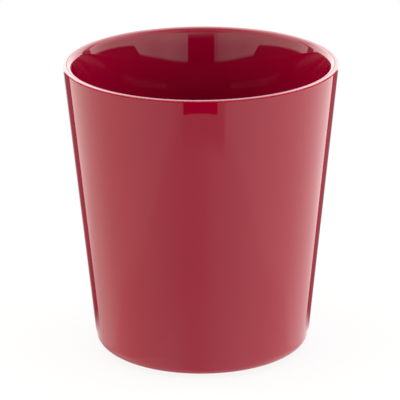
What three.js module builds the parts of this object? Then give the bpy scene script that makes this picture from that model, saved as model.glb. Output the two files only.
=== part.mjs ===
// A straight-sided stoneware mug without a handle, glazed inside and out, in millimetres with +Z up.
// The clay cup and its three coats of glaze are separate solids turned about the Z axis.
// The origin is the centre of the foot ring, on the surface that the mug stands on.
import * as THREE from "three";

// Overall form, over the glaze. The two diameters are those of the outer wall's straight line.
const MUG_HEIGHT = 92.5;
const RIM_DIAMETER = 86;
const BASE_DIAMETER = 67.6;
const BASE_CORNER_RADIUS = 4;

// Lip and wall, over the glaze. A bevel on the inside thins the wall towards the lip, and blends into it.
const LIP_THICKNESS = 2.6;
const LIP_THINNING = 2.4;
const LIP_BEVEL_ANGLE = THREE.MathUtils.degToRad(17);
const LIP_BEVEL_FLAT = 0.8;
const LIP_CROWN_WIDTH = 0.55;
const LIP_CLAY_OUTER_RADIUS = 0.2;

// Floor and the glazed recess under it.
const FLOOR_THICKNESS = 5;
const FLOOR_CORNER_RADIUS = 9;
const RECESS_DEPTH = 2.2;
const RECESS_CORNER_RADIUS = 1.5;

// Bare clay foot ring. It stands in from the end of the base corner, and below it by its height.
const FOOT_INSET = 1.2;
const FOOT_RING_WIDTH = 4;
const FOOT_HEIGHT = 0.7;
const FOOT_EDGE_RADIUS = 0.5;

// Glaze coats, and the hairline left between a coat and whatever it lies against.
const GLAZE_THICKNESS = 0.4;
const GLAZE_GAP = 0.02;

// Facets: segments round the axis, and how far a facet may cut across a round edge.
const TURN_SEGMENTS = 60;
const CHORD_ERROR = 0.05;

// Finishes: bare biscuit-fired clay and a glossy red glaze.
const CLAY_COLOUR = 0xd9cdb8;
const CLAY_ROUGHNESS = 0.85;
const GLAZE_COLOUR = 0x8a0220;
const GLAZE_ROUGHNESS = 0.06;

// The section is drawn in a half plane: x is the distance from the axis and y is the height.
// It runs with the air on its right, so up the outside, over the lip and down the inside.
const clayDepth = GLAZE_THICKNESS + GLAZE_GAP;
const rimRadius = RIM_DIAMETER / 2;
const baseRadius = BASE_DIAMETER / 2;
const wallThickness = LIP_THICKNESS + LIP_THINNING;
const wallLean = Math.atan2(rimRadius - baseRadius, MUG_HEIGHT);
const floorHeight = RECESS_DEPTH + FLOOR_THICKNESS;

// The lip's round inner edge takes up its whole thickness, apart from the flat crown and the outer edge.
const lipOuterRadius = LIP_CLAY_OUTER_RADIUS + clayDepth;
const lipOuterReach = lipOuterRadius * Math.tan((Math.PI / 2 + wallLean) / 2);
const lipInnerReach = LIP_THICKNESS - LIP_CROWN_WIDTH - lipOuterReach;
const lipInnerRadius = lipInnerReach / Math.tan((Math.PI / 2 - LIP_BEVEL_ANGLE) / 2);

function outerWallAt(height) {
  return new THREE.Vector2(baseRadius + height * Math.tan(wallLean), height);
}

function innerWallAt(height) {
  const wall = outerWallAt(height);
  wall.x -= wallThickness / Math.cos(wallLean);
  return wall;
}

// Where the lip's bevel, going down from the rim's inner corner, runs into the straight inner wall.
function bevelEnd(rimInnerCorner) {
  const startGap = rimInnerCorner.x - innerWallAt(MUG_HEIGHT).x;
  const closing = Math.tan(LIP_BEVEL_ANGLE) - Math.tan(wallLean);
  return innerWallAt(MUG_HEIGHT - startGap / closing);
}

// The blend takes up the whole bevel, apart from the lip's round inner edge and a short flat under it.
function bevelBlendRadius(bevelLength) {
  const blendReach = bevelLength - lipInnerReach - LIP_BEVEL_FLAT;
  return blendReach / Math.tan((LIP_BEVEL_ANGLE - wallLean) / 2);
}

// The direction that faces the air, for a section that runs in the given direction.
function airSide(direction) {
  return new THREE.Vector2(direction.y, -direction.x);
}

// Rounds one corner of the section with an arc. Each point of it carries the direction of its surface.
function roundCorner(before, corner, after, radius) {
  const arriving = corner.clone().sub(before).normalize();
  const leaving = after.clone().sub(corner).normalize();
  const turn = Math.atan2(arriving.cross(leaving), arriving.dot(leaving));
  const bulge = Math.sign(turn) * radius;
  const reach = radius * Math.tan(Math.abs(turn) / 2);
  const facing = airSide(arriving);
  const centre = corner.clone().addScaledVector(arriving, -reach).addScaledVector(facing, -bulge);
  const widestStep = 2 * Math.acos(1 - CHORD_ERROR / radius);
  const steps = Math.ceil(Math.abs(turn) / widestStep);
  return Array.from({ length: steps + 1 }, (_, step) => {
    const normal = facing.clone().rotateAround(new THREE.Vector2(), (turn * step) / steps);
    return { point: centre.clone().addScaledVector(normal, bulge), normal };
  });
}

// The points of a surface, or of the parallel surface at a depth below it.
function pointsBelow(surface, depth) {
  return surface.map(({ point, normal }) => point.clone().addScaledVector(normal, -depth));
}

// Finished surface of the mug, from the base corner to the middle of the drinking floor.
const undersideCentre = new THREE.Vector2(0, FOOT_HEIGHT);
const baseCornerPoint = outerWallAt(FOOT_HEIGHT);
const rimOuterCorner = outerWallAt(MUG_HEIGHT);
const rimInnerCorner = new THREE.Vector2(rimRadius - LIP_THICKNESS, MUG_HEIGHT);
const knee = bevelEnd(rimInnerCorner);
const blendRadius = bevelBlendRadius(rimInnerCorner.distanceTo(knee));
const floorCornerPoint = innerWallAt(floorHeight);
const floorCentre = { point: new THREE.Vector2(0, floorHeight), normal: new THREE.Vector2(0, 1) };

const baseCorner = roundCorner(undersideCentre, baseCornerPoint, rimOuterCorner, BASE_CORNER_RADIUS);
const lipOuterEdge = roundCorner(baseCornerPoint, rimOuterCorner, rimInnerCorner, lipOuterRadius);
const lipInnerEdge = roundCorner(rimOuterCorner, rimInnerCorner, knee, lipInnerRadius);
const lipBlend = roundCorner(rimInnerCorner, knee, floorCornerPoint, blendRadius);
const floorCorner = roundCorner(knee, floorCornerPoint, floorCentre.point, FLOOR_CORNER_RADIUS);

// Finished surface of the recess, from the axis out to the bare inner side of the foot ring.
const footRadius = baseCorner[0].point.x - FOOT_INSET;
const footInnerRadius = footRadius - FOOT_RING_WIDTH;
const recessCentre = { point: new THREE.Vector2(0, RECESS_DEPTH), normal: new THREE.Vector2(0, -1) };
const recessCornerPoint = new THREE.Vector2(footInnerRadius - clayDepth, RECESS_DEPTH);
const recessCorner = roundCorner(
  recessCentre.point,
  recessCornerPoint,
  new THREE.Vector2(recessCornerPoint.x, 0),
  Math.min(RECESS_CORNER_RADIUS, RECESS_DEPTH - FOOT_EDGE_RADIUS),
);

// The outer coat stops a hairline below the lip's outer edge, where the inner coat comes over.
const wallDirection = rimOuterCorner.clone().sub(baseCornerPoint).normalize();
const lipSeam = lipOuterEdge[0];
const outerCoatTop = {
  point: lipSeam.point.clone().addScaledVector(wallDirection, -GLAZE_GAP),
  normal: lipSeam.normal,
};
const outerSurface = [...baseCorner, outerCoatTop];
const innerSurface = [...lipOuterEdge, ...lipInnerEdge, ...lipBlend, ...floorCorner, floorCentre];
const recessSurface = [recessCentre, ...recessCorner];

// Bare clay of the foot, from the recess over the ring to the underside of the base corner.
function footPoints() {
  const innerSideTop = new THREE.Vector2(footInnerRadius, RECESS_DEPTH);
  const ringInnerCorner = new THREE.Vector2(footInnerRadius, 0);
  const ringOuterCorner = new THREE.Vector2(footRadius, 0);
  const outerSideTop = new THREE.Vector2(footRadius, FOOT_HEIGHT + clayDepth);
  const innerEdge = roundCorner(innerSideTop, ringInnerCorner, ringOuterCorner, FOOT_EDGE_RADIUS);
  const outerEdge = roundCorner(ringInnerCorner, ringOuterCorner, outerSideTop, FOOT_EDGE_RADIUS);
  return [...pointsBelow([...innerEdge, ...outerEdge], 0), outerSideTop];
}

// The clay lies under every glazed surface, and is bare only on the foot ring.
function claySection() {
  return [
    ...pointsBelow(recessSurface, clayDepth),
    ...footPoints(),
    ...pointsBelow([...baseCorner, ...innerSurface], clayDepth),
  ];
}

// A coat of glaze lies between a finished surface and the parallel one under it.
function coatSection(surface) {
  const outside = pointsBelow(surface, 0);
  const inside = pointsBelow(surface, GLAZE_THICKNESS);
  return [...outside, ...inside.reverse(), outside[0].clone()];
}

// Turns a section about the axis, with the axis stood up along +Z.
function turned(name, section, material) {
  const geometry = new THREE.LatheGeometry(section, TURN_SEGMENTS);
  geometry.rotateX(Math.PI / 2);
  const mesh = new THREE.Mesh(geometry, material);
  mesh.name = name;
  return mesh;
}

function bareClay() {
  return new THREE.MeshStandardMaterial({ color: CLAY_COLOUR, roughness: CLAY_ROUGHNESS, metalness: 0 });
}

function redGlaze() {
  return new THREE.MeshStandardMaterial({ color: GLAZE_COLOUR, roughness: GLAZE_ROUGHNESS, metalness: 0 });
}

const mug = new THREE.Group();
mug.add(
  turned("clay_body", claySection(), bareClay()),
  turned("outer_glaze", coatSection(outerSurface), redGlaze()),
  turned("inner_glaze", coatSection(innerSurface), redGlaze()),
  turned("base_glaze", coatSection(recessSurface), redGlaze()),
);

export default mug;
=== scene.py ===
import math
from collections import namedtuple

import bmesh
import bpy
from mathutils import Matrix, Vector


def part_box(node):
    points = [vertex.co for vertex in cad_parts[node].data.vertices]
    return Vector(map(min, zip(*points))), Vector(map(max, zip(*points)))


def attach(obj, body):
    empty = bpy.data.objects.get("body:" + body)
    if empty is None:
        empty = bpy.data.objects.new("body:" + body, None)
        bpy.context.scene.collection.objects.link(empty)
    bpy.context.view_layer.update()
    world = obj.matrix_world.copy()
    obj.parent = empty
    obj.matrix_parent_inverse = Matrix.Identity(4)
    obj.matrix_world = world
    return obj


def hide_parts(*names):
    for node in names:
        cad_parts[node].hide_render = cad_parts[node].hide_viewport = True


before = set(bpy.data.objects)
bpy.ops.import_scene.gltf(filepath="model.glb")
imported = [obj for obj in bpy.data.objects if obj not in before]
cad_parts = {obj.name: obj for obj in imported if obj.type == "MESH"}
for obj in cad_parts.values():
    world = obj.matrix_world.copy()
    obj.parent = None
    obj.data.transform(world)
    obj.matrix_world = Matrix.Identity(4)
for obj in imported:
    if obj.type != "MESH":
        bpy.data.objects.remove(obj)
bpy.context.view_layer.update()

MM = 0.001
DEGREES = 180 / math.pi

# The mug's section over the glaze, in metres. Its main heights come from the frame.
GLAZE_THICKNESS = 0.4 * MM
GLAZE_GAP = 0.02 * MM
GLAZE_BEAD = 0.15 * MM
CLAY_DEPTH = GLAZE_THICKNESS + GLAZE_GAP
MUG_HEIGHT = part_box("inner_glaze")[1].z
FOOT_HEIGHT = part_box("outer_glaze")[0].z
FLOOR_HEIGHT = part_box("inner_glaze")[0].z + GLAZE_THICKNESS
RECESS_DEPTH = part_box("base_glaze")[1].z - GLAZE_THICKNESS
RIM_RADIUS = 43.0 * MM
BASE_RADIUS = 33.8 * MM
BASE_ROUNDING = 4.0 * MM
LIP_THICKNESS = 2.6 * MM
LIP_CROWN_WIDTH = 0.85 * MM
LIP_EDGE_ROUNDING = 0.3 * MM
LIP_BAND_HEIGHT = 0.46 * MM
LIP_BAND_LEAN = math.radians(-6)
LIP_BEVEL_ANGLE = math.radians(17)
LIP_BEVEL_FLAT = 0.8 * MM
WALL_THICKNESS = 5.0 * MM
FLOOR_ROUNDING = 9.0 * MM
FOOT_INSET = 1.2 * MM
FOOT_RING_WIDTH = 4.0 * MM
FOOT_ROUNDING = 0.5 * MM
RECESS_ROUNDING = 1.5 * MM

# What follows from those sizes, for the wall and the lip.
WALL_LEAN = math.atan2(RIM_RADIUS - BASE_RADIUS, MUG_HEIGHT)
SEAM_HEIGHT = MUG_HEIGHT - LIP_BAND_HEIGHT
SEAM_RADIUS = RIM_RADIUS - LIP_BAND_HEIGHT * math.tan(WALL_LEAN)
LIP_EDGE_RADIUS = SEAM_RADIUS + LIP_BAND_HEIGHT * math.tan(LIP_BAND_LEAN)
LIP_EDGE_REACH = LIP_EDGE_ROUNDING * math.tan((math.pi / 2 + LIP_BAND_LEAN) / 2)
LIP_INNER_REACH = LIP_EDGE_RADIUS - LIP_EDGE_REACH - LIP_CROWN_WIDTH - (RIM_RADIUS - LIP_THICKNESS)
LIP_INNER_ROUNDING = LIP_INNER_REACH / math.tan((math.pi / 2 - LIP_BEVEL_ANGLE) / 2)

# How finely the pieces are turned, and what is welded and shaded sharp.
TURN_STEPS = 192
RING_SPACING = 2.5 * MM
ARC_STEP = math.radians(5)
ARC_SPACING = 0.6 * MM
FEWEST_ARC_STEPS = 2
ROUND_PROFILE = 0.5
WELD_DISTANCE = 0.001 * MM
SHARP_ANGLE = math.radians(35)

# Red glaze. A pair of colours is the range of its clouding, and a pair of lengths is a soft border.
GLAZE_COLOURS = ((0.255, 0.0003, 0.0150), (0.275, 0.0007, 0.0170))
LINER_COLOURS = ((0.255, 0.0003, 0.0195), (0.275, 0.0007, 0.0225))
POOL_COLOUR = (0.225, 0.0003, 0.0180)
# The lip's lighter red is partly thinner glaze and partly a painted highlight along the rim.
LIP_GLAZE_AND_HIGHLIGHT_COLOUR = (0.345, 0.0040, 0.0240)
POOL_SHARE = 0.8
INSIDE_BORDER = (BASE_RADIUS - 4.0 * MM, BASE_RADIUS - 2.0 * MM)
FLOOR_BORDER = (FLOOR_HEIGHT - 1.0 * MM, FLOOR_HEIGHT - 0.2 * MM)
POOL_BORDER = (FLOOR_HEIGHT + 1.0 * MM, FLOOR_HEIGHT + 9.0 * MM)
LIP_HEIGHT_BORDER = (MUG_HEIGHT - 0.6 * MM, MUG_HEIGHT - 0.1 * MM)
LIP_REACH_BORDER = (RIM_RADIUS - 1.1 * MM, RIM_RADIUS - 0.4 * MM)
CLOUD_SCALE = 60.0
CLOUD_DETAIL = 3.0
SHEEN_SCALE = 220.0
GLAZE_ROUGHNESS = (0.004, 0.012)
RIPPLE_SCALE = 110.0
RIPPLE_DETAIL = 1.0
RIPPLE_DEPTH = 0.004 * MM
GLAZE_IOR = 1.5

# Bare clay on the foot ring.
CLAY_COLOURS = ((0.50, 0.43, 0.33), (0.70, 0.63, 0.52))
RUBBED_COLOUR = (0.44, 0.40, 0.34)
SPECK_COLOUR = (0.23, 0.17, 0.12)
RUBBED_SHARE = 0.5
RUBBED_BORDER = (0.05 * MM, 0.35 * MM)
RUBBED_PATCHES = (0.35, 0.6)
RUBBED_SCALE = 300.0
RUBBED_DETAIL = 3.0
CLAY_GRAIN_SCALE = 900.0
CLAY_GRAIN_DETAIL = 4.0
CLAY_GRAIN_ROUGHNESS = 0.65
SPECK_SCALE = 2400.0
SPECK_DETAIL = 1.0
SPECK_EDGE = (0.66, 0.72)
CLAY_ROUGHNESS = (0.9, 0.7)
CLAY_PIT_SCALE = 1600.0
CLAY_PIT_DETAIL = 3.0
CLAY_PIT_ROUGHNESS = 0.6
CLAY_PIT_DEPTH = 0.05 * MM

# White table top under the mug.
TABLE_TOP_RADIUS = 120 * MM
TABLE_TOP_SIDES = 96
TABLE_TOP_COLOUR = (0.85, 0.85, 0.85, 1.0)
TABLE_TOP_ROUGHNESS = 0.9
TABLE_TOP_WHITENESS = 0.86

# Camera, from the outline of the mug in its 400 by 400 pixel picture.
IMAGE_WIDTH = 400
FOCAL_PIXELS = 2627.8
SENSOR_WIDTH = 36.0
CAMERA_DISTANCE = 847.5 * MM
CAMERA_LOOK_DOWN = math.radians(21.78)
CAMERA_TARGET = Vector((-0.5 * MM, 0.0, 47.2 * MM))
CAMERA_ROLL = math.radians(-0.384)

# The studio, by direction from the mug, in degrees. Bearings run to the right from where the camera stands,
# rises run up from level, and a pair of degrees is a stretch over which one part gives way to the next.
# Levels are against plain white, and a pair of them is for before and after such a stretch.
RIGHT_HALF = (-1, 1)
RIGHT_SIDE = (-8, 22)
RIGHT_SIDE_END = (150, 180)
LEFT_SIDE = (8, 30)
LEFT_SIDE_END = (165, 180)
STRAIGHT_BACK = (177.2, 178.4)

# Pale table, brighter past the edge of the card that the mug stands on.
TABLE_SIDES = (12, 55)
TABLE_LEVELS = (0.86, 1.14)
CARD_EDGE = (-28.2, -27.2)
CARD_SIDES = (18, 26)
CARD_LEVELS = (0.94, 1.10)
CARD_DROP = 1.9
CARD_DROP_SIDES = (0, 60)
CARD_LIFT = 1.2
CARD_LIFT_SIDES = (60, 100)
TABLE_UNDER_MUG = (-72, -46)
TABLE_UNDER_MUG_LEVELS = (0.89, 1.0)
NEAR_TABLE_START = (-56, -45)
NEAR_TABLE_END = (-33.5, -31.5)
NEAR_TABLE_SIDES = (125, 150)
NEAR_TABLE_GLOW = (0.08, 0.20)
BACK_TABLE_SIDES = (108, 150)
BACK_TABLE_END = (-24.5, -22)
BACK_TABLE_SHADE = (0.30, 0.45)

# Walls: how bright they are in front, and by how much they get brighter over each stretch to the sides.
FRONT_WALL_LEVEL = 0.6975
WALL_STEPS = (((10, 35), 0.4185), ((38, 70), 0.6975), ((85, 130), 0.837))
RIGHT_WALL = (-5, 15)
RIGHT_WALL_END = (30, 50)
RIGHT_WALL_GLOW = 0.186
UPPER_WALL = (11, 19)
UPPER_WALL_SIDES = (45, 70)
UPPER_WALL_GLOW = 0.55
BACK_WALL_SHADE = 0.35
BACK_GLOW_SIDES = (95, 125)
BACK_GLOW_RISE = (2, 14)
BACK_GLOW = (1.15, 0.70)

# Ceiling, in the same way.
FRONT_CEILING_LEVEL = 0.42
CEILING_FRONT = (14, 36)
CEILING_FRONT_STEP = (0.85, 1.0)
CEILING_STEPS = (((45, 75), 0.35), ((75, 120), 0.75))
CEILING_EDGE = (20, 30)
CEILING_BACK = (100, 140)
CEILING_BACK_LIFT = 8
STRAIGHT_UP = (50, 80)
STRAIGHT_UP_LEVEL = 0.62

# Where the table turns up into the walls, a glow low on the right, and the shade of the camera's stand.
TABLE_TO_WALL = (-33, -3)
LOW_RIGHT_START = (-76, -44)
LOW_RIGHT_END = (-15, 8)
LOW_RIGHT_STEP = (-28, -23)
LOW_RIGHT_GLOW = (0.26, 0.35)
STAND_MIDDLE = 2
STAND_SIDES = (17, 20)
STAND_BOTTOM = (-29.3, -28.5)
STAND_TURN = (-12, 14)
STAND_RISE = (0, 9)
STAND_LOW_SHADE = (0.15, 0.35)
STAND_HIGH_SHADE = (0.28, 0.0)

# Dark strip all round, between the table and the bright walls. It is lower behind.
STRIP_FRONT_TOP = 8.0
STRIP_TOP_SIDES = (15, 50)
STRIP_TOP_LIFT = 0.5
STRIP_STEP = 3.2
STRIP_STEP_SIDES = (50, 57)
STRIP_STEP_RIGHT = 8.5
STRIP_PEAK = 57
STRIP_PEAK_RIGHT = 3.5
STRIP_SLOPE = 0.07
STRIP_CURVE = 0.0018
STRIP_LOWEST_TOP = -1.5
STRIP_BACK = (147, 156)
STRIP_BACK_DROP = 14
STRIP_TOP_EDGE = (-0.6, 0.6)
STRIP_BOTTOM = -17
STRIP_BOTTOM_EDGE = (-1, 1)
STRIP_BOTTOM_SHARPNESS = (0.6, 3.1)
LOW_BACK_EDGE = (142.5, 147)
LOW_BACK_RIGHT = 2.6
LOW_BACK_LEAN = 0.6
LOW_BACK_RISE = -20
LOW_BACK_START = 149
LOW_BACK_DROP = 7.2
LOW_BACK_SLOPE = 0.085
STRIP_END = (158.5, 171)
STRIP_END_RIGHT = 5
STRIP_DARKNESS = (0.98, 0.93)
STRIP_END_FADE = 0.55

# Dark slit where the camera looks in, and a dark post on each side towards the back.
SLIT_MIDDLE = -0.5
SLIT_EDGE = (12.4, 13.8)
SLIT_LEAN = 0.055
SLIT_BOTTOM = (-28.26, -28.23)
SLIT_BOTTOM_CURVE = 0.00045
SLIT_TOP = (16, 23)
POST_BEARING = 117
POST_EDGE = (3.5, 5.5)
POST_BOTTOM = (-8, -4)
POST_TOP = (32, 42)
POST_FADE = (10, 30)
POST_DARKNESS = (0.9, 0.65)
RIGHT_POST_SHIFT = 6
RIGHT_POST_LEAN = 0.3
RIGHT_POST_WIDENING = 2.5

# What is left of light that the glaze mirrors twice inside the cup, and a window on each side that stays.
TWICE_MIRRORED = (1.2, 1.8)
TWICE_KEPT = (0.1, 1.0)
TWICE_BOTTOM = (18, 22)
TWICE_BOTTOM_SLOPE = 0.1
TWICE_TOP = (19, 22)
TWICE_SIDES = (14, 26)
TWICE_END = (115, 125)

# Light that falls on the colour itself, as a share of the room's: less in front, behind and high up, more
# from below, and a light straight above, so that the glaze keeps its colour from all sides.
SOFT_SHARE = (1.275, 1.315)
SOFT_FRONT = (20, 60)
SOFT_FRONT_CUT = 0.65
SOFT_BACK = (90, 145)
SOFT_BACK_CUT = 0.77
SOFT_LOW = (-60, -35)
SOFT_LOW_GAIN = 0.69
SOFT_HIGH = (22, 45)
SOFT_HIGH_CUT = (0.30, 0.41)
TOP_LIGHT = (62, 72)
TOP_LIGHT_LEVEL = 2.7

# Light from the sides is a little warmer than the rest.
WARM_SIDES = (15, 90)
WARM_END = (125, 165)
WARM_ON_RIGHT = 0.4
PLAIN_WHITE = (1.0, 1.0, 1.0)
WARM_WHITE = (1.0, 0.985, 0.90)

# Sockets of a Mix node for colours, which have the same names there as those for numbers.
MIX_LOW_COLOUR = 6
MIX_HIGH_COLOUR = 7
MIX_RESULT_COLOUR = 2

# A corner of a section: its distance from the mug's axis, its height and the radius that rounds it.
Corner = namedtuple("Corner", "reach height rounding", defaults=(0.0,))

# A direction from the mug: its bearing, the bearing's size, its rise, and the parts of the room it lies in.
Way = namedtuple("Way", "bearing aside rise right_half right_side left_side straight_back")


class Shade:
    """A socket of a node tree. Arithmetic on it adds Math nodes, and node() adds any other node."""

    def __init__(self, tree, socket=None):
        self.tree = tree
        self.socket = socket

    def node(self, kind, settings=None, inputs=None, output=0):
        made = self.tree.nodes.new(kind)
        for name, value in (settings or {}).items():
            setattr(made, name, value)
        for name, value in (inputs or {}).items():
            if isinstance(value, Shade):
                self.tree.links.new(value.socket, made.inputs[name])
            else:
                made.inputs[name].default_value = value
        return Shade(self.tree, made.outputs[output])

    def math(self, operation, *values):
        return self.node("ShaderNodeMath", {"operation": operation}, dict(enumerate(values)))

    def __add__(self, other):
        return self.math("ADD", self, other)

    def __radd__(self, other):
        return self.math("ADD", other, self)

    def __sub__(self, other):
        return self.math("SUBTRACT", self, other)

    def __rsub__(self, other):
        return self.math("SUBTRACT", other, self)

    def __mul__(self, other):
        return self.math("MULTIPLY", self, other)

    def __rmul__(self, other):
        return self.math("MULTIPLY", other, self)

    def size(self):
        return self.math("ABSOLUTE", self)

    def at_least(self, lowest):
        return self.math("MAXIMUM", self, lowest)

    def ramp(self, low, high):
        """0 below low and 1 above high, with a smooth step between."""
        ends = {"Value": self, "From Min": low, "From Max": high}
        return self.node("ShaderNodeMapRange", {"interpolation_type": "SMOOTHSTEP"}, ends)

    def fade(self, low, high):
        """1 below low and 0 above high, with a smooth step between."""
        return 1 - self.ramp(low, high)

    def between(self, low, high):
        """A number from low to high as this value goes from 0 to 1. Either end can vary too."""
        return low + (high - low) * self

    def tint(self, low, high):
        """A colour from low to high as this value goes from 0 to 1. Either end can vary too."""
        low, high = (end if isinstance(end, Shade) else (*end, 1.0) for end in (low, high))
        ends = {"Factor": self, MIX_LOW_COLOUR: low, MIX_HIGH_COLOUR: high}
        return self.node("ShaderNodeMix", {"data_type": "RGBA"}, ends, MIX_RESULT_COLOUR)

    def noise(self, scale, detail=2.0, roughness=0.5):
        settings = {"Vector": self, "Scale": scale, "Detail": detail, "Roughness": roughness}
        return self.node("ShaderNodeTexNoise", {}, settings)

    def part(self, axis):
        return self.node("ShaderNodeSeparateXYZ", {}, {0: self}, axis)

    def bump(self, depth):
        """A surface normal for relief of this depth, where this value is the height."""
        return self.node("ShaderNodeBump", {}, {"Distance": depth, "Height": self})


def outer_wall(height):
    return BASE_RADIUS + height * math.tan(WALL_LEAN)


def inner_wall(height):
    return outer_wall(height) - WALL_THICKNESS / math.cos(WALL_LEAN)


def lip_knee():
    """Where the bevel inside the lip meets the straight inner wall, and the radius that blends them."""
    rim_inner = RIM_RADIUS - LIP_THICKNESS
    closing = math.tan(LIP_BEVEL_ANGLE) - math.tan(WALL_LEAN)
    drop = (rim_inner - inner_wall(MUG_HEIGHT)) / closing
    blend_reach = drop / math.cos(LIP_BEVEL_ANGLE) - LIP_INNER_REACH - LIP_BEVEL_FLAT
    rounding = blend_reach / math.tan((LIP_BEVEL_ANGLE - WALL_LEAN) / 2)
    return Corner(inner_wall(MUG_HEIGHT - drop), MUG_HEIGHT - drop, rounding)


def wall_seam():
    """The ring where the inner glaze, rolled over the lip, meets the outer glaze."""
    return Corner(SEAM_RADIUS, SEAM_HEIGHT)


def base_end():
    """Where the rounded base corner ends on the underside, and the glaze with it."""
    base_turn = math.pi / 2 - WALL_LEAN
    reach = outer_wall(FOOT_HEIGHT) - BASE_ROUNDING * math.tan(base_turn / 2)
    return Corner(reach, FOOT_HEIGHT)


FOOT_RADIUS = base_end().reach - FOOT_INSET
FOOT_INNER_RADIUS = FOOT_RADIUS - FOOT_RING_WIDTH

# Finished surfaces, each with the air on its right: up the outside, down the inside, out under the base.
OUTER_SURFACE = [
    base_end(),
    Corner(outer_wall(FOOT_HEIGHT), FOOT_HEIGHT, BASE_ROUNDING),
    wall_seam(),
]
INNER_SURFACE = [
    wall_seam(),
    Corner(LIP_EDGE_RADIUS, MUG_HEIGHT, LIP_EDGE_ROUNDING),
    Corner(RIM_RADIUS - LIP_THICKNESS, MUG_HEIGHT, LIP_INNER_ROUNDING),
    lip_knee(),
    Corner(inner_wall(FLOOR_HEIGHT), FLOOR_HEIGHT, FLOOR_ROUNDING),
    Corner(0.0, FLOOR_HEIGHT),
]
RECESS_SURFACE = [
    Corner(0.0, RECESS_DEPTH),
    Corner(FOOT_INNER_RADIUS - CLAY_DEPTH, RECESS_DEPTH, RECESS_ROUNDING),
    Corner(FOOT_INNER_RADIUS - CLAY_DEPTH, RECESS_DEPTH - RECESS_ROUNDING),
]


def heading(start, end):
    return Vector((end.reach - start.reach, end.height - start.height)).normalized()


def below(surface, depth):
    """The corners of the surface that runs parallel to this one, at a depth below it."""
    headings = [heading(start, end) for start, end in zip(surface, surface[1:])]
    lowered = []
    for corner, arriving, leaving in zip(surface, headings[:1] + headings, headings + headings[-1:]):
        facing = Vector((arriving.y + leaving.y, -arriving.x - leaving.x))
        shift = facing * depth / (1 + arriving.dot(leaving))
        turn = arriving.x * leaving.y - arriving.y * leaving.x
        rounding = corner.rounding and corner.rounding - math.copysign(depth, turn)
        lowered.append(Corner(corner.reach - shift.x, corner.height - shift.y, rounding))
    return lowered


def coat(surface, beaded_end=None):
    """The section of a glaze coat. An end that lies open on the clay has a round bead."""
    outside = list(surface)
    if beaded_end is not None:
        outside[beaded_end] = outside[beaded_end]._replace(rounding=GLAZE_BEAD)
    return outside + below(surface, GLAZE_THICKNESS)[::-1]


def clay_section():
    """The clay lies under every glazed surface and is bare on the foot ring."""
    whole_surface = OUTER_SURFACE[:-1] + INNER_SURFACE[1:]
    recess = below(RECESS_SURFACE, CLAY_DEPTH)
    ring = [
        Corner(FOOT_INNER_RADIUS, 0.0, FOOT_ROUNDING),
        Corner(FOOT_RADIUS, 0.0, FOOT_ROUNDING),
        Corner(FOOT_RADIUS, FOOT_HEIGHT + CLAY_DEPTH),
    ]
    return recess[:-1] + ring + below(whole_surface, CLAY_DEPTH)


def draw_section(mesh, corners):
    """Draws a section as edges: corners rounded by a vertex bevel, long stretches cut into even steps."""
    dots = [mesh.verts.new((corner.reach, 0.0, corner.height)) for corner in corners]
    for start, end in zip(dots, dots[1:] + dots[:1]):
        along_axis = start.co.x == end.co.x == 0
        if not along_axis:
            mesh.edges.new((start, end))
    for index, corner in enumerate(corners):
        if not corner.rounding:
            continue
        arriving = heading(corners[index - 1], corner)
        leaving = heading(corner, corners[(index + 1) % len(corners)])
        turn = arriving.angle(leaving)
        steps = max(FEWEST_ARC_STEPS, turn / ARC_STEP, corner.rounding * turn / ARC_SPACING)
        bmesh.ops.bevel(
            mesh,
            geom=[dots[index]],
            offset=corner.rounding * math.tan(turn / 2),
            offset_type="OFFSET",
            segments=math.ceil(steps),
            profile=ROUND_PROFILE,
            affect="VERTICES",
        )
    for edge in list(mesh.edges):
        cuts = int(edge.calc_length() / RING_SPACING)
        if cuts:
            bmesh.ops.subdivide_edges(mesh, edges=[edge], cuts=cuts)


def scene_object(name, mesh, material):
    """Puts a finished mesh into the scene."""
    data = bpy.data.meshes.new(name)
    mesh.to_mesh(data)
    mesh.free()
    data.materials.append(material)
    made = bpy.data.objects.new(name, data)
    bpy.context.collection.objects.link(made)
    return made


def turned_piece(name, corners, material, node):
    """Spins a section round the mug's axis into one closed piece that stands for a CAD node."""
    mesh = bmesh.new()
    draw_section(mesh, corners)
    bmesh.ops.spin(
        mesh,
        geom=mesh.verts[:] + mesh.edges[:],
        cent=(0, 0, 0),
        axis=(0, 0, 1),
        angle=math.tau,
        steps=TURN_STEPS,
        use_merge=True,
    )
    bmesh.ops.remove_doubles(mesh, verts=mesh.verts[:], dist=WELD_DISTANCE)
    bmesh.ops.recalc_face_normals(mesh, faces=mesh.faces[:])
    piece = scene_object(name, mesh, material)
    piece.data.shade_smooth()
    piece.data.set_sharp_from_angle(angle=SHARP_ANGLE)
    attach(piece, "root")
    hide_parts(node)


def new_material(name):
    material = bpy.data.materials.new(name)
    material.use_nodes = True
    shader = material.node_tree.nodes["Principled BSDF"]
    return material, Shade(material.node_tree), shader


def feed(node, name, value):
    node.id_data.links.new(value.socket, node.inputs[name])


def reach_of(place):
    """The distance of a place from the mug's axis."""
    flat = place.node("ShaderNodeVectorMath", {"operation": "MULTIPLY"}, {0: place, 1: (1, 1, 0)})
    return place.node("ShaderNodeVectorMath", {"operation": "LENGTH"}, {0: flat}, "Value")


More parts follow.
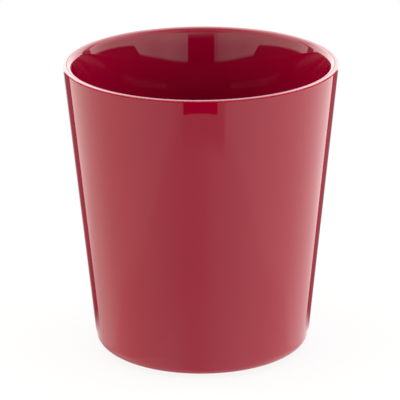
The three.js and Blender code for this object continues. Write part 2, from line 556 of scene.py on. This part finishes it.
def red_glaze():
    """Deep crimson gloss: lighter over the lip, as thin glaze plus a painted highlight; pooled darker on
    the floor; rippled.
    """
    material, paint, shader = new_material("red_glaze")
    place = paint.node("ShaderNodeTexCoord", output="Object")
    height = place.part("Z")
    reach = reach_of(place)
    reach_at_foot = reach - height * math.tan(WALL_LEAN)
    inside = reach_at_foot.fade(*INSIDE_BORDER) * height.ramp(*FLOOR_BORDER)
    pooled = inside * height.fade(*POOL_BORDER)
    # Lighter colour on the lip's outer edge: partly thinner glaze, partly a painted highlight.
    thin_and_highlit_lip = height.ramp(*LIP_HEIGHT_BORDER) * reach.ramp(*LIP_REACH_BORDER)
    cloud = place.noise(CLOUD_SCALE, CLOUD_DETAIL)
    colour = inside.tint(cloud.tint(*GLAZE_COLOURS), cloud.tint(*LINER_COLOURS))
    colour = (pooled * POOL_SHARE).tint(colour, POOL_COLOUR)
    feed(shader, "Base Color", thin_and_highlit_lip.tint(colour, LIP_GLAZE_AND_HIGHLIGHT_COLOUR))
    feed(shader, "Roughness", place.noise(SHEEN_SCALE).between(*GLAZE_ROUGHNESS))
    feed(shader, "Normal", place.noise(RIPPLE_SCALE, RIPPLE_DETAIL).bump(RIPPLE_DEPTH))
    shader.inputs["IOR"].default_value = GLAZE_IOR
    return material


def bare_clay():
    """Fired stoneware: warm off-white, matt, finely speckled, and rubbed smoother where the mug stands."""
    material, paint, shader = new_material("bare_clay")
    place = paint.node("ShaderNodeTexCoord", output="Object")
    grain = place.noise(CLAY_GRAIN_SCALE, CLAY_GRAIN_DETAIL, CLAY_GRAIN_ROUGHNESS)
    specks = place.noise(SPECK_SCALE, SPECK_DETAIL).ramp(*SPECK_EDGE)
    patches = place.noise(RUBBED_SCALE, RUBBED_DETAIL).ramp(*RUBBED_PATCHES)
    rubbed = place.part("Z").fade(*RUBBED_BORDER) * patches
    pits = place.noise(CLAY_PIT_SCALE, CLAY_PIT_DETAIL, CLAY_PIT_ROUGHNESS)
    colour = (rubbed * RUBBED_SHARE).tint(grain.tint(*CLAY_COLOURS), RUBBED_COLOUR)
    feed(shader, "Base Color", specks.tint(colour, SPECK_COLOUR))
    feed(shader, "Roughness", rubbed.between(*CLAY_ROUGHNESS))
    feed(shader, "Normal", pits.bump(CLAY_PIT_DEPTH))
    return material


def seen_by_camera(tree):
    """1 for rays from the camera, straight or through something clear, and 0 for all others."""
    straight = tree.node("ShaderNodeLightPath", output="Is Camera Ray")
    through = tree.node("ShaderNodeLightPath", output="Is Transmission Ray")
    return straight + through


def white_floor():
    """A lit white table top that only the camera sees, where the mug leaves a soft shadow."""
    material, paint, shader = new_material("white_floor")
    shader.inputs["Base Color"].default_value = TABLE_TOP_COLOUR
    shader.inputs["Roughness"].default_value = TABLE_TOP_ROUGHNESS
    lit = Shade(material.node_tree, shader.outputs[0])
    white = paint.node("ShaderNodeEmission", {}, {"Strength": 1.0})
    table_top = paint.node("ShaderNodeMixShader", {}, {0: TABLE_TOP_WHITENESS, 1: lit, 2: white})
    clear = paint.node("ShaderNodeBsdfTransparent")
    surface = paint.node("ShaderNodeMixShader", {}, {0: seen_by_camera(paint), 1: clear, 2: table_top})
    feed(material.node_tree.nodes["Material Output"], "Surface", surface)
    mesh = bmesh.new()
    bmesh.ops.create_circle(mesh, cap_ends=True, segments=TABLE_TOP_SIDES, radius=TABLE_TOP_RADIUS)
    scene_object("floor", mesh, material)


def way_from_mug(sky):
    """The direction that light comes from, as the values that the room is drawn by."""
    direction = sky.node("ShaderNodeTexCoord", output="Generated")
    across, along, up = (direction.part(axis) for axis in "XYZ")
    bearing = across.math("ARCTAN2", across, 0 - along) * DEGREES
    aside = bearing.size()
    return Way(
        bearing=bearing,
        aside=aside,
        rise=up.math("ARCSINE", up) * DEGREES,
        right_half=bearing.ramp(*RIGHT_HALF),
        right_side=bearing.ramp(*RIGHT_SIDE) * aside.fade(*RIGHT_SIDE_END),
        left_side=(0 - bearing).ramp(*LEFT_SIDE) * aside.fade(*LEFT_SIDE_END),
        straight_back=aside.ramp(*STRAIGHT_BACK),
    )


def stepped(aside, level, steps):
    """A level that rises by each step's amount over its stretch to the sides."""
    for sides, amount in steps:
        level = level + amount * aside.ramp(*sides)
    return level


def table_light(way):
    """The pale table: brighter to the sides and round the mug, darker straight below it and behind."""
    sides = way.aside.ramp(*TABLE_SIDES)
    card_drop = CARD_DROP * way.aside.ramp(*CARD_DROP_SIDES) - CARD_LIFT * way.aside.ramp(*CARD_LIFT_SIDES)
    past_card = (way.rise + card_drop).ramp(*CARD_EDGE) * way.aside.ramp(*CARD_SIDES)
    away_from_mug = way.rise.ramp(*TABLE_UNDER_MUG)
    near = way.rise.ramp(*NEAR_TABLE_START) * way.rise.fade(*NEAR_TABLE_END)
    near = near * way.aside.fade(*NEAR_TABLE_SIDES)
    behind = way.aside.ramp(*BACK_TABLE_SIDES) * way.rise.fade(*BACK_TABLE_END)
    level = sides.between(*TABLE_LEVELS) * past_card.between(*CARD_LEVELS)
    level = level * away_from_mug.between(*TABLE_UNDER_MUG_LEVELS)
    level = level + near * way.left_side.between(*NEAR_TABLE_GLOW)
    return level * (1 - behind * way.left_side.between(*BACK_TABLE_SHADE))


def wall_light(way):
    """The walls, dim in front, bright at the sides and brightest high up towards the back."""
    level = stepped(way.aside, FRONT_WALL_LEVEL, WALL_STEPS)
    level = level + RIGHT_WALL_GLOW * way.bearing.ramp(*RIGHT_WALL) * way.aside.fade(*RIGHT_WALL_END)
    level = level + UPPER_WALL_GLOW * way.rise.ramp(*UPPER_WALL) * way.aside.fade(*UPPER_WALL_SIDES)
    level = level * (1 - BACK_WALL_SHADE * way.straight_back)
    glow = way.aside.ramp(*BACK_GLOW_SIDES) * (1 - way.straight_back) * way.rise.ramp(*BACK_GLOW_RISE)
    return level + glow * way.right_half.between(*BACK_GLOW)


def ceiling_light(way):
    """The ceiling, dim over the camera and straight above, brighter to the sides and behind."""
    front_step = way.aside.ramp(*CEILING_FRONT) * way.right_side.between(*CEILING_FRONT_STEP)
    level = stepped(way.aside, FRONT_CEILING_LEVEL + front_step, CEILING_STEPS)
    return way.rise.ramp(*STRAIGHT_UP).between(level, STRAIGHT_UP_LEVEL)


def stand_shade(way):
    """The shade of the camera's stand: deeper on the right below level, and on the left above it."""
    to_right = way.bearing.ramp(*STAND_TURN)
    low_shade = to_right.between(*STAND_LOW_SHADE)
    high_shade = to_right.between(*STAND_HIGH_SHADE)
    sides = (way.bearing - STAND_MIDDLE).size().fade(*STAND_SIDES)
    return way.rise.ramp(*STAND_RISE).between(low_shade, high_shade) * sides * way.rise.ramp(*STAND_BOTTOM)


def room_light(way):
    """The whole room without its dark gaps: the table, the walls over it and the ceiling over them."""
    low_right = way.right_side * way.rise.ramp(*LOW_RIGHT_START) * way.rise.fade(*LOW_RIGHT_END)
    level = way.rise.ramp(*TABLE_TO_WALL).between(table_light(way), wall_light(way))
    level = level + low_right * way.rise.ramp(*LOW_RIGHT_STEP).between(*LOW_RIGHT_GLOW)
    level = level * (1 - stand_shade(way))
    back_lift = CEILING_BACK_LIFT * way.aside.ramp(*CEILING_BACK) * (1 - way.straight_back)
    return (way.rise - back_lift).ramp(*CEILING_EDGE).between(level, ceiling_light(way))


def strip_top(way):
    """The rise of the dark strip's upper edge: a step up at the sides, then a fall towards the back."""
    past_step = (way.aside - STRIP_STEP_RIGHT * way.right_half).ramp(*STRIP_STEP_SIDES)
    past_peak = (way.aside - STRIP_PEAK_RIGHT * way.right_half).at_least(STRIP_PEAK) - STRIP_PEAK
    top = STRIP_FRONT_TOP + STRIP_TOP_LIFT * way.aside.ramp(*STRIP_TOP_SIDES) + STRIP_STEP * past_step
    top = top - STRIP_SLOPE * past_peak - STRIP_CURVE * past_peak * past_peak
    return top.at_least(STRIP_LOWEST_TOP) - STRIP_BACK_DROP * way.aside.ramp(*STRIP_BACK)


def dark_strip(way):
    """How dark the strip is: almost black at the front and sides, and paler straight behind."""
    lean = LOW_BACK_LEAN * (way.rise - LOW_BACK_RISE)
    low_back = (way.aside - LOW_BACK_RIGHT * way.right_half - lean).ramp(*LOW_BACK_EDGE)
    bottom = STRIP_BOTTOM - (LOW_BACK_DROP - LOW_BACK_SLOPE * (way.aside - LOW_BACK_START)) * low_back
    over_bottom = (way.rise - bottom) * low_back.between(*STRIP_BOTTOM_SHARPNESS)
    end = (way.aside - STRIP_END_RIGHT * way.right_half).ramp(*STRIP_END)
    strip = (way.rise - strip_top(way)).fade(*STRIP_TOP_EDGE) * over_bottom.ramp(*STRIP_BOTTOM_EDGE)
    return strip * low_back.between(*STRIP_DARKNESS) * (1 - STRIP_END_FADE * end)


def camera_slit(way):
    """The upright dark slit in front, a little narrower towards its top."""
    side = (way.bearing - SLIT_MIDDLE).size() + SLIT_LEAN * way.rise
    over_bottom = (way.rise - SLIT_BOTTOM_CURVE * way.aside * way.aside).ramp(*SLIT_BOTTOM)
    return side.fade(*SLIT_EDGE) * over_bottom * way.rise.fade(*SLIT_TOP)


def back_posts(way):
    """An upright dark post on each side towards the back. The right one is wider and leans."""
    right_shift = (RIGHT_POST_SHIFT + RIGHT_POST_LEAN * way.rise) * way.right_half
    side = (way.aside - POST_BEARING - right_shift).size() - RIGHT_POST_WIDENING * way.right_half
    post = side.fade(*POST_EDGE) * way.rise.ramp(*POST_BOTTOM) * way.rise.fade(*POST_TOP)
    return post * way.rise.ramp(*POST_FADE).between(*POST_DARKNESS)


def mirrored_light(way, room):
    """What the gloss shows: the room with its dark gaps."""
    return room * (1 - dark_strip(way)) * (1 - camera_slit(way)) * (1 - back_posts(way))


def light_on_colour(way, room):
    """What falls on the colour under the gloss: the room's light without gaps, and a light from above."""
    share = way.right_side.between(*SOFT_SHARE)
    share = share - SOFT_FRONT_CUT * way.aside.fade(*SOFT_FRONT)
    share = share - SOFT_BACK_CUT * way.aside.ramp(*SOFT_BACK)
    share = share + SOFT_LOW_GAIN * way.rise.fade(*SOFT_LOW)
    share = share - way.right_side.between(*SOFT_HIGH_CUT) * way.rise.ramp(*SOFT_HIGH)
    return room * share + TOP_LIGHT_LEVEL * way.rise.ramp(*TOP_LIGHT)


def kept_when_mirrored_twice(way):
    """What is left of light that the glaze mirrors twice: little but a window on each side."""
    window = (way.rise + TWICE_BOTTOM_SLOPE * way.aside).ramp(*TWICE_BOTTOM) * way.rise.fade(*TWICE_TOP)
    window = window * way.aside.ramp(*TWICE_SIDES) * way.aside.fade(*TWICE_END)
    return window.between(*TWICE_KEPT)


def studio_light():
    """A studio round the mug, drawn by a ray's direction and kind. The camera sees it plain white."""
    world = bpy.data.worlds.new("studio")
    bpy.context.scene.world = world
    world.use_nodes = True
    sky = Shade(world.node_tree)
    way = way_from_mug(sky)
    seen = seen_by_camera(sky)
    mirrored = sky.node("ShaderNodeLightPath", output="Is Glossy Ray")
    times_mirrored = sky.node("ShaderNodeLightPath", output="Glossy Depth")
    room = room_light(way)
    level = mirrored.between(light_on_colour(way, room), mirrored_light(way, room))
    level = level * times_mirrored.ramp(*TWICE_MIRRORED).between(1, kept_when_mirrored_twice(way))
    warmth = way.aside.ramp(*WARM_SIDES) * way.aside.fade(*WARM_END)
    warmth = warmth * way.right_side.between(1, WARM_ON_RIGHT) * (1 - seen)
    background = world.node_tree.nodes["Background"]
    feed(background, "Color", warmth.tint(PLAIN_WHITE, WARM_WHITE))
    feed(background, "Strength", seen.between(level, 1))


def place_camera():
    """Looks at the mug from the front, a little above it, with a long lens."""
    lens = bpy.data.cameras.new("camera")
    lens.sensor_width = SENSOR_WIDTH
    lens.lens = FOCAL_PIXELS / IMAGE_WIDTH * SENSOR_WIDTH
    camera = bpy.data.objects.new("camera", lens)
    bpy.context.collection.objects.link(camera)
    back = Vector((0.0, -math.cos(CAMERA_LOOK_DOWN), math.sin(CAMERA_LOOK_DOWN)))
    spot = back * CAMERA_DISTANCE
    turn = (CAMERA_TARGET - spot).to_track_quat("-Z", "Y").to_matrix().to_4x4()
    camera.matrix_world = Matrix.Translation(spot) @ turn @ Matrix.Rotation(CAMERA_ROLL, 4, "Z")
    bpy.context.scene.camera = camera


GLAZE = red_glaze()
CLAY = bare_clay()
turned_piece("clay_cup", clay_section(), CLAY, "clay_body")
turned_piece("outside_glaze", coat(OUTER_SURFACE, beaded_end=0), GLAZE, "outer_glaze")
turned_piece("inside_glaze", coat(INNER_SURFACE), GLAZE, "inner_glaze")
turned_piece("underside_glaze", coat(RECESS_SURFACE, beaded_end=-1), GLAZE, "base_glaze")
white_floor()
studio_light()
place_camera()
bpy.context.scene.view_settings.view_transform = "Standard"
